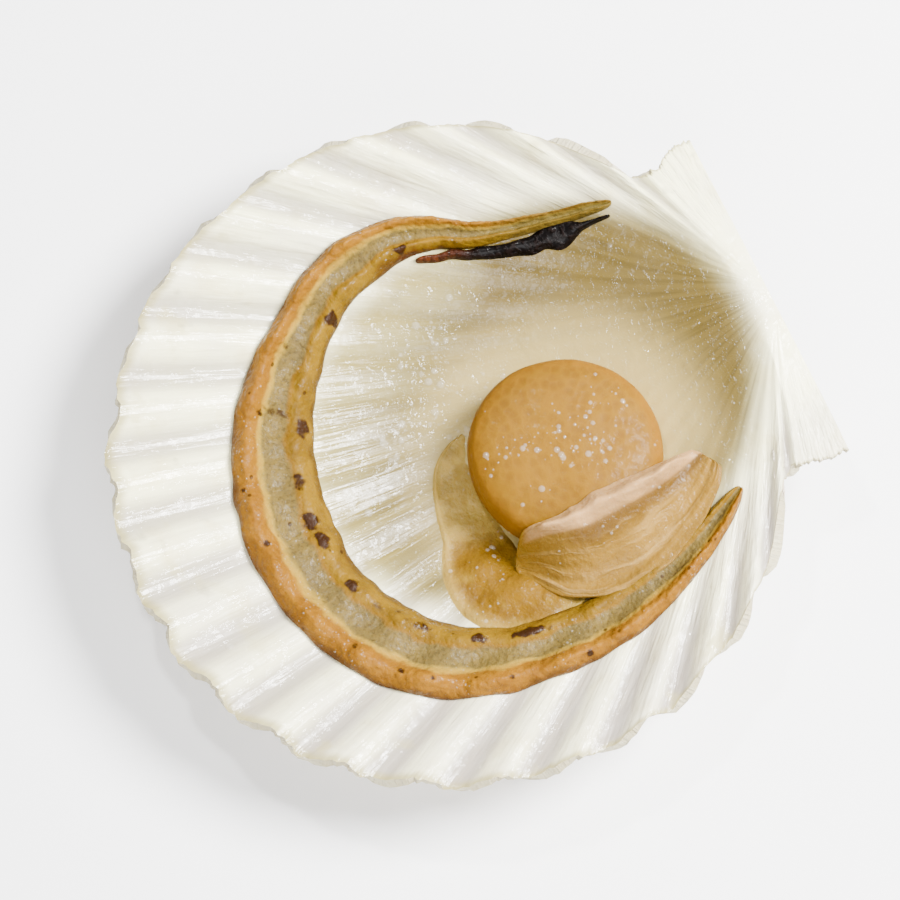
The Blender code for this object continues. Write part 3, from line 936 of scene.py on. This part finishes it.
def mantle_finish(flesh):
    """Raw mantle: a pebbled orange roll, a thin grey strip with wrinkles across it, and an ochre roll.

    Its pigment gathers in small brown spots, and a pale line runs where the outer roll meets the strip.
    """
    material, tree, shader, place = flesh_finish("raw mantle, wet", 0.18, 0.05)
    across = swayed_across(tree, place, 5.0, 3.0, 0.10)
    middle = amount(tree, (across, -0.34, -0.22), (across, 0.44, 0.26))
    inner = amount(tree, (across, 0.28, 0.48))
    cells = {"Vector": place, "Scale": 1.0 / flesh.pebble}
    pebble = add(tree, "ShaderNodeTexVoronoi", cells, feature="SMOOTH_F1")
    pebble = amount(tree, (pebble, 0.1, 0.7))
    freckle = add(tree, "ShaderNodeTexVoronoi", {"Vector": place, "Scale": 1000 / 2.6})
    freckled = blotches(tree, place, 9.0, 0.46, 0.56)
    grain = blotches(tree, place, 0.8, 0.36, 0.64, 4.0)
    cloud = blotches(tree, place, 4.5, 0.40, 0.64)
    gloom = blotches(tree, place, 6.0, 0.42, 0.66)
    specks = blotches(tree, place, 0.55, 0.52, 0.62, 2.0)
    crosswise = {"X": amount(tree, "along"), "Y": amount(tree, across, 0.0035)}
    crosswise = add(tree, "ShaderNodeCombineXYZ", crosswise)
    wrinkle = amount(tree, blotches(tree, crosswise, 0.75, 0.42, 0.62), middle)
    frayed = amount(tree, "mark", (grain, 0.0, 1.0, 0.80, 1.20))
    colour = layered(
        tree,
        flesh.roll_colour,
        # painted shade in the hollows between the pebbles
        ("#57340a", pebble, 0.30),
        ("#895d0a", cloud, 0.35),
        ("#3a200a", (across, -0.86, -1.02), 0.7),
        (flesh.strip_colour, middle),
        ("#4b4026", gloom, middle, 0.50),
        ("#39301c", specks, middle, 0.45),
        ("#836f32", wrinkle, 0.12),
        (flesh.inner_colour, inner),
        ("#49320a", inner, cloud, 0.5),
        ("#a1832a", (across, -0.42, -0.32), (across, -0.16, -0.28), 0.55),
        ("#351f0a", (across, 0.84, 0.99), 0.65),
        ("#230f06", (freckle, 0.17, 0.10), freckled, 0.75),
        ("#56491c", ("along", 26 * MM, 9 * MM), 0.65),
        ("#371308", "blush", 0.85),
        (flesh.mark_colour, (frayed, 0.12, 0.66)),
    )
    bumps = ((pebble, -0.10), (grain, 0.06), (wrinkle, 0.03))
    ripples = ((pebble, -0.14), (grain, 0.12))
    shown(tree, shader, colour, (grain, 0.32, 0.50), bumps, ripples)
    return material


def gill_finish(flesh):
    """Raw gill membrane: a thin sheet with painted highlights along its folds, and a pale roll on the
    muscle with a painted shadow beside it.
    """
    material, tree, shader, place = flesh_finish("raw gill membrane, wet", 0.25)
    across = swayed_across(tree, place, 8.0, 2.0, 0.12)
    uneven = blotches(tree, place, 4.0, 0.3, 0.7)
    lengthwise = {"X": amount(tree, "along", 0.08), "Y": amount(tree, across, 0.0065)}
    lengthwise = add(tree, "ShaderNodeCombineXYZ", lengthwise)
    folds = blotches(tree, lengthwise, 1.3, 0.50, 0.68)
    folds = amount(tree, folds, (across, 0.2, -0.3, 0.4, 1.0), ("along", 36 * MM, 18 * MM, 0.25, 1.0))
    cloud = blotches(tree, place, 5.0, 0.38, 0.66)
    grain = blotches(tree, place, 0.9, 0.38, 0.66, 4.0)
    colour = layered(
        tree,
        flesh.gill_colour,
        ("#604618", cloud, 0.35),
        # painted shadow: a dark band on the sheet beside the pale roll
        ("#4c330d", (across, -0.25, 0.28), ("along", 4 * MM, 10 * MM), 0.85),
        # painted highlight: pale lines along the tops of the folds
        ("#b49256", folds, 0.36),
        ("#5c430f", (across, -0.55, -0.98), 0.4),
        ("#7c5a14", ("along", 6 * MM, 1 * MM), 0.7),
        (flesh.gill_pale, "roll", (uneven, 0.0, 1.0, 0.7, 1.0), 0.95),
    )
    bumps, ripples = ((folds, 0.14), (grain, 0.05)), ((folds, 0.2), (grain, 0.12))
    shown(tree, shader, colour, (grain, 0.26, 0.44), bumps, ripples)
    return material


def gonad_finish(flesh):
    """Raw gonad under its thin skin: mottled orange tan with a paler rim."""
    material, tree, shader, place = flesh_finish("raw gonad, wet", 0.25)
    cloud = blotches(tree, place, 3.2, 0.38, 0.64)
    grain = blotches(tree, place, 0.9, 0.38, 0.66, 4.0)
    pale = blotches(tree, place, 6.0, 0.52, 0.70)
    colour = layered(
        tree,
        flesh.gonad_colour,
        ("#ae9148", ("along", 21 * MM, 14 * MM), 0.9),
        ("#4d330a", cloud, 0.45),
        ("#8d7228", pale, 0.5),
        ("#a08640", ("across", -0.5, -1.0), 0.7),
    )
    bumps, ripples = ((cloud, 0.10), (grain, 0.05)), ((cloud, 0.3), (grain, 0.12))
    shown(tree, shader, colour, (grain, 0.26, 0.44), bumps, ripples)
    return material


def gut_finish(flesh):
    """Gut strand: near black and wet, with a red brown start."""
    material, tree, shader, place = flesh_finish("gut strand, wet", 0.0, 0.08)
    clots = blotches(tree, place, 1.1, 0.45, 0.62, 4.0)
    colour = layered(
        tree,
        flesh.gut_colour,
        ("#1c0c06", clots, 0.25),
        ("#45200c", ("along", 21 * MM, 30 * MM), (clots, 0.0, 1.0, 1.0, 0.6)),
    )
    shown(tree, shader, colour, (clots, 0.38, 0.6), ((clots, 0.2),))
    return material


def juice_finish():
    """Beads of the scallop's own water: clear, faintly straw coloured, mirror smooth."""
    sockets = {"Roughness": 0.03, "IOR": 1.5, "Alpha": 0.11, "Coat Weight": 1.0, "Coat Roughness": 0.02}
    material, tree, shader, place = new_finish("clear juice", sockets)
    haze = blotches(tree, place, 2.0, 0.3, 0.7)
    plug(tree, shader.inputs["Base Color"], layered(tree, linear("#fffdf6"), ("#f6ecd2", haze, 0.5)))
    return material


def studio_finish(stage):
    """Plain matt paper of a studio floor, with a faint fibre that is only just seen."""
    sockets = {"Roughness": 0.9, "Specular IOR Level": 0.2}
    material, tree, shader, place = new_finish("matt studio paper", sockets)
    fibre = blotches(tree, place, 1.5, 0.2, 0.8)
    plug(tree, shader.inputs["Base Color"], layered(tree, stage.floor, ("#e6e6e6", fibre, 0.04)))
    return material


# Sections of the strips


def mantle_section(flesh):
    """A high outer roll, a hollow with fine folds, and a lower inner roll."""

    def height(across, share, length):
        lumps = 1.0 + 0.07 * ripple(length / MM, 11, 0.4, 2.0)
        outer = ridge(across, -0.64, 0.33) * lumps
        inner = 0.66 * ridge(across, 0.64, 0.30) * (1.0 + 0.10 * ripple(length / MM, 12, 0.4, 1.9))
        folds = 0.01 * ripple(length / MM + 0.6 * across, 13, 1.2, 4.0) * ridge(across, 0.05, 0.35)
        arms = 0.62 + 0.38 * np.sin(np.pi * share)
        return flesh.mantle_rise * arms * (0.42 + 0.58 * np.maximum(outer, inner) + folds)

    return height


def gill_section(flesh):
    """A thin sheet with long folds, and a thick roll near its edge on the muscle."""

    def height(across, share, length):
        waver = (0.92 + 0.12 * ripple(length / MM, 21, 0.35, 1.2)) * smooth_step(0.05, 0.13, share)
        place = 0.72 + 0.04 * ripple(length / MM, 22, 0.3, 1.0)
        roll = ridge(across, place, 0.19) * waver * (1.0 - smooth_step(0.80, 0.97, share))
        folds = 0.0
        for number, place in enumerate((-0.76, -0.50, -0.22, 0.1)):
            centre = place + 0.07 * ripple(length / MM, 30 + number, 0.10, 0.35)
            folds = folds + (0.50 - 0.11 * number) * ridge(across, centre, 0.07)
        thin = 0.25 + 0.75 * smooth_step(0.0, 0.25, share)
        return flesh.gill_sheet * (1.0 + folds) * thin + flesh.gill_roll * roll

    return height


def gonad_section(flesh):
    """A soft pad, thick along its middle and thin at both sides, with a bead on one edge."""

    def height(across, share, length):
        waver = 1.0 + 0.12 * ripple(length / MM, 71, 0.3, 1.2)
        body = 0.04 + 0.66 * smooth_step(0.34, 0.62, share)
        bead = 0.15 * ridge(across, -0.84, 0.10)
        return flesh.gonad_rise * (0.13 + body * ridge(across, 0.05, 0.55) * waver + bead)

    return height


# Where drops lie: from 0, dry, to 1, thick with them


def patchy(points, seed, size):
    """Seeded soft patches of about that size over a set of points, between 0 and 1."""
    x, y = points[:, 0] / size, points[:, 1] / size
    lines = sum(ripple(line, seed + step, 0.8, 3.0, 6) for step, line in enumerate((x, y, x + y)))
    return smooth_step(-0.2, 1.5, lines)


def muscle_wetness(points, facing):
    """Two clusters of beads on the muscle's top, and a few elsewhere on it."""
    x, y = points[:, 0] / MM, points[:, 1] / MM + 5.0
    clusters = [
        thick * ridge(np.hypot(x - cluster_x, y - cluster_y), 0.0, reach)
        for cluster_x, cluster_y, reach, thick in BEAD_CLUSTERS
    ]
    return smooth_step(0.6, 0.95, facing) * (np.maximum(*clusters) + 0.14 * patchy(points, 81, 3.5 * MM))


def soft_wetness(points, facing):
    """Loose patches of beads on whatever faces up."""
    return smooth_step(0.3, 0.8, facing) * patchy(points, 84, 4.0 * MM)


def floor_wetness(points, facing):
    """The floor inside the horseshoe of mantle is wet, and the margin is nearly dry."""
    x, y = points[:, 0] / MM, points[:, 1] / MM
    inside = 1.0 - smooth_step(0.70, 1.05, np.hypot((x + 7.0) / 25.0, (y + 2.0) / 24.0))
    return smooth_step(0.4, 0.8, facing) * (0.02 + inside * patchy(points, 87, 5.0 * MM))


# The operators, one for each piece or group of like pieces


class SCALLOP_OT_valve(bpy.types.Operator):
    """Makes the ribbed valve with its worn rim"""

    bl_idname = "scallop.make_valve"
    bl_label = "Valve"

    def execute(self, context):
        valve, flesh = context.scene.scallop_valve, context.scene.scallop_flesh
        sizes = {
            "Rib Pitch": valve.rib_pitch,
            "Inner Rib Height": valve.rib_inside,
            "Outer Rib Height": valve.rib_outside,
            "Hinge Wall": valve.hinge_wall,
            "Rim Wall": valve.rim_wall,
            "Ring Spacing": valve.ring_spacing,
            "Ring Height": valve.ring_height,
            "Seed": 3.0,
            "Inside": pearly_finish(valve),
            "Outside": chalky_finish(valve),
        }
        shell = valve_sheet(valve, flesh)
        grow(shell, valve_tree(), sizes)
        shell.data.set_sharp_from_angle(angle=math.radians(62))
        finish_piece(shell, "shell")
        return {"FINISHED"}


class SCALLOP_OT_muscle(bpy.types.Operator):
    """Makes the round muscle"""

    bl_idname = "scallop.make_muscle"
    bl_label = "Muscle"

    def execute(self, context):
        valve, flesh = context.scene.scallop_valve, context.scene.scallop_flesh
        rings, sides = 96, 168
        polar = np.linspace(0.0, np.pi, rings + 2)[:, None]
        angle = np.linspace(0.0, 2.0 * np.pi, sides, endpoint=False)[None, :]
        squareness = 0.42
        out, level = np.sin(polar) ** squareness, np.abs(np.cos(polar)) ** squareness
        radius = muscle_outline(flesh, angle) * out
        x = flesh.muscle_x + radius * np.cos(angle)
        y = flesh.muscle_y - valve.deepest_offset + radius * np.sin(angle)
        floor = dish_height(valve, x, y) - SINK
        waist = 0.5 * (flesh.muscle_top + valve.floor_level)
        swell = 0.14 * MM * (ripple(x / MM, 41, 0.15, 0.6, 6) + ripple(y / MM, 42, 0.15, 0.6, 6))
        above = waist + (flesh.muscle_top - waist) * level + (flesh.muscle_dome + swell) * (1.0 - out**2)
        below = floor + (waist - floor) * (1.0 - level)
        z = np.where(np.cos(polar) > 0, above, below)
        values = {
            "top": np.where(np.cos(polar) > 0, 1.0, 0.4),
            "side": smooth_step(0.80, 1.0, out) * (1.0 - smooth_step(0.90, 1.0, level)),
            "round": flesh.muscle_radius * angle,
        }
        muscle = new_object("adductor", *ball(np.stack([x, y, z], axis=-1), values))
        sizes = {"Lump Size": 8 * MM, "Lump Height": 0.45 * MM, "Pebble Size": 1.6 * MM}
        sizes |= {"Pebble Height": 0.0, "Seed": 2.0, "Finish": muscle_finish(flesh)}
        grow(muscle, flesh_tree(), sizes)
        finish_piece(muscle, "adductor_muscle")
        return {"FINISHED"}


class SCALLOP_OT_mantle(bpy.types.Operator):
    """Makes the horseshoe of mantle and the dark gut strand beside it"""

    bl_idname = "scallop.make_mantle"
    bl_label = "Mantle and gut"

    def execute(self, context):
        valve, flesh = context.scene.scallop_valve, context.scene.scallop_flesh
        tree = flesh_tree()

        def floor(x, y):
            return floor_height(valve, x, y)

        def scalloped(side, length):
            return 0.020 * ripple(length / MM + 40.0 * side, 15, 0.30, 1.3)

        section = mantle_section(flesh)
        mantle = strip("mantle", valve, MANTLE_ROUTE, (84, 620), floor, section, scalloped)
        mesh = mantle.data
        across, top = (stored(mesh.attributes[key].data, "value") for key in ("across", "top"))
        values = {
            "pebbled": top * (1.0 - smooth_step(-0.45, -0.2, across)),
            "mark": marks_value(mesh, valve, MANTLE_MARKS),
            "blush": marks_value(mesh, valve, MANTLE_BLUSH),
        }
        store(mesh, values)
        sizes = {"Lump Size": 3.4 * MM, "Lump Height": 0.45 * MM, "Pebble Size": flesh.pebble}
        sizes |= {"Pebble Height": 0.26 * MM, "Seed": 4.0, "Finish": mantle_finish(flesh)}
        grow(mantle, tree, sizes)
        finish_piece(mantle, "mantle_frill")

        def ragged(side, length):
            return 0.16 * ripple(length / MM + 25.0 * side, 51, 0.3, 1.6)

        def lumps(across, share, length):
            round_back = 0.35 + 0.65 * np.sqrt(np.maximum(0.0, 1.0 - across**2))
            return flesh.gut_rise * round_back * (0.80 + 0.12 * ripple(length / MM, 52, 0.3, 1.3))

        strand = strip("gut", valve, GUT_ROUTE, (32, 240), floor, lumps, ragged)
        sizes = {"Lump Size": 1.8 * MM, "Lump Height": 0.45 * MM, "Pebble Size": 1 * MM}
        sizes |= {"Pebble Height": 0.0, "Seed": 6.0, "Finish": gut_finish(flesh)}
        grow(strand, tree, sizes)
        finish_piece(strand, "gut_strand")
        return {"FINISHED"}


class SCALLOP_OT_membranes(bpy.types.Operator):
    """Makes the gill membrane with its pale roll, and the gonad below the muscle"""

    bl_idname = "scallop.make_membranes"
    bl_label = "Membrane and gonad"

    def execute(self, context):
        valve, flesh = context.scene.scallop_valve, context.scene.scallop_flesh
        tree = flesh_tree()

        def draped(x, y):
            return draped_support(valve, flesh, x, y)

        def floor(x, y):
            return floor_height(valve, x, y)

        def waves(side, length):
            return 0.03 * ripple(length / MM + 30.0 * side, 61, 0.2, 0.9)

        gill = strip("gill", valve, GILL_ROUTE, (88, 260), draped, gill_section(flesh), waves)
        mesh = gill.data
        across, along = (stored(mesh.attributes[key].data, "value") for key in ("across", "along"))
        roll = smooth_step(0.38, 0.52, across) * smooth_step(0.5 * MM, 2.0 * MM, along)
        store(mesh, {"roll": roll})
        sizes = {"Lump Size": 3.4 * MM, "Lump Height": 0.6 * MM, "Pebble Size": 1 * MM}
        sizes |= {"Pebble Height": 0.0, "Seed": 7.0, "Finish": gill_finish(flesh)}
        grow(gill, tree, sizes)
        finish_piece(gill, "gill_membrane")

        gonad = strip("gonad_lobe", valve, GONAD_ROUTE, (88, 200), floor, gonad_section(flesh), waves)
        sizes |= {"Lump Size": 3.5 * MM, "Lump Height": 0.5 * MM, "Seed": 8.0}
        grow(gonad, tree, {**sizes, "Finish": gonad_finish(flesh)})
        finish_piece(gonad, "gonad")
        return {"FINISHED"}


class SCALLOP_OT_drops(bpy.types.Operator):
    """Lays beads of juice on the muscle, the membranes and the wet floor of the valve"""

    bl_idname = "scallop.make_drops"
    bl_label = "Drops of juice"

    def execute(self, context):
        tree, finish = scatter_tree(), juice_finish()
        wet_places = (
            ("adductor", "muscle", muscle_wetness, 1.9e6, 0.12 * MM, 0.60 * MM, 5),
            ("gonad_lobe", "gonad", soft_wetness, 0.30e6, 0.12 * MM, 0.46 * MM, 6),
            ("gill", "membrane", soft_wetness, 0.12e6, 0.10 * MM, 0.36 * MM, 7),
            ("mantle", "mantle", soft_wetness, 0.90e6, 0.06 * MM, 0.22 * MM, 8),
            ("valve", "shell", floor_wetness, 0.40e6, 0.14 * MM, 0.80 * MM, 9),
        )
        for name, slot, wetness, density, smallest, largest, seed in wet_places:
            mesh = bpy.data.objects[name].data.copy()
            drops = bpy.data.objects.new(f"{name}_drops", mesh)
            context.scene.collection.objects.link(drops)
            points, facing = stored(mesh.vertices, "co", 3), stored(mesh.vertices, "normal", 3)[:, 2]
            store(mesh, {"wet": wetness(points, facing)})
            sizes = {"Per Square Metre": density, "Smallest": smallest, "Largest": largest}
            grow(drops, tree, {**sizes, "Flatness": 0.5, "Seed": seed, "Finish": finish})
            finish_piece(drops, None)
        return {"FINISHED"}


class SCALLOP_OT_stage(bpy.types.Operator):
    """Makes the floor, the soft lights and the camera"""

    bl_idname = "scallop.make_stage"
    bl_label = "Stage"

    def execute(self, context):
        stage = context.scene.scallop_stage
        low, high = (Vector(corner) for corner in CAD_BOX)
        middle = (low + high) / 2.0
        bpy.ops.mesh.primitive_plane_add(size=6.0, location=(0.0, 0.0, 0.0))
        floor = context.object
        floor.name = "studio_floor"
        floor.data.materials.append(studio_finish(stage))
        flat = math.cos(stage.elevation)
        back = Vector((math.sin(stage.azimuth) * flat, -math.cos(stage.azimuth) * flat, 0.0))
        back.z = math.sin(stage.elevation)
        camera_data = bpy.data.cameras.new("photo camera")
        camera_data.lens = stage.lens
        camera = bpy.data.objects.new("photo camera", camera_data)
        context.scene.collection.objects.link(camera)
        distance = stage.view_width / 2.0 * stage.lens / (camera_data.sensor_width / 2.0)
        camera.location = Vector(stage.aim) + back * distance
        camera.rotation_euler = back.to_track_quat("Z", "Y").to_euler()
        camera_data.clip_end = 20.0
        context.scene.camera = camera
        right = Vector((math.cos(stage.azimuth), math.sin(stage.azimuth), 0.0))
        ahead = Vector((-right.y, right.x, 0.0))
        lights = (
            ("key", 0.34 * right + 0.10 * ahead, 0.46, 0.26, 20.0),
            ("fill", 0.02 * right - 0.42 * ahead, 0.42, 0.50, 5.0),
            ("glint", -0.12 * right + 0.20 * ahead, 0.50, 0.04, 2.0),
        )
        for name, offset, height, size, power in lights:
            light_data = bpy.data.lights.new(name, "AREA")
            light_data.shape = "DISK"
            light_data.size = size
            light_data.energy = power
            light = bpy.data.objects.new(name, light_data)
            light.location = middle + offset + Vector((0.0, 0.0, height))
            light.rotation_euler = (light.location - middle).to_track_quat("Z", "Y").to_euler()
            context.scene.collection.objects.link(light)
        world = bpy.data.worlds.new("studio air")
        world.use_nodes = True
        background = world.node_tree.nodes["Background"].inputs
        background["Color"].default_value = linear("#f4f6fa")
        background["Strength"].default_value = 0.55
        context.scene.world = world
        return {"FINISHED"}


class SCALLOP_PT_panel(bpy.types.Panel):
    """Lists the pieces and their sizes in the sidebar"""

    bl_idname = "SCALLOP_PT_panel"
    bl_label = "Scallop"
    bl_space_type = "VIEW_3D"
    bl_region_type = "UI"
    bl_category = "Scallop"

    def draw(self, context):
        for operator in OPERATORS:
            self.layout.operator(operator.bl_idname)
        for name, kind in SETTINGS:
            box = self.layout.box()
            for key in kind.__annotations__:
                box.prop(getattr(context.scene, name), key)


OPERATORS = (
    SCALLOP_OT_valve,
    SCALLOP_OT_muscle,
    SCALLOP_OT_mantle,
    SCALLOP_OT_membranes,
    SCALLOP_OT_drops,
    SCALLOP_OT_stage,
)


def register():
    for name, kind in SETTINGS:
        bpy.utils.register_class(kind)
        setattr(bpy.types.Scene, name, bpy.props.PointerProperty(type=kind))
    for kind in (*OPERATORS, SCALLOP_PT_panel):
        bpy.utils.register_class(kind)


def unregister():
    for kind in (SCALLOP_PT_panel, *reversed(OPERATORS)):
        bpy.utils.unregister_class(kind)
    for name, kind in reversed(SETTINGS):
        delattr(bpy.types.Scene, name)
        bpy.utils.unregister_class(kind)


def main():
    register()
    bpy.ops.scallop.make_valve()
    bpy.ops.scallop.make_muscle()
    bpy.ops.scallop.make_mantle()
    bpy.ops.scallop.make_membranes()
    bpy.ops.scallop.make_drops()
    bpy.ops.scallop.make_stage()


if __name__ == "__main__":
    main()
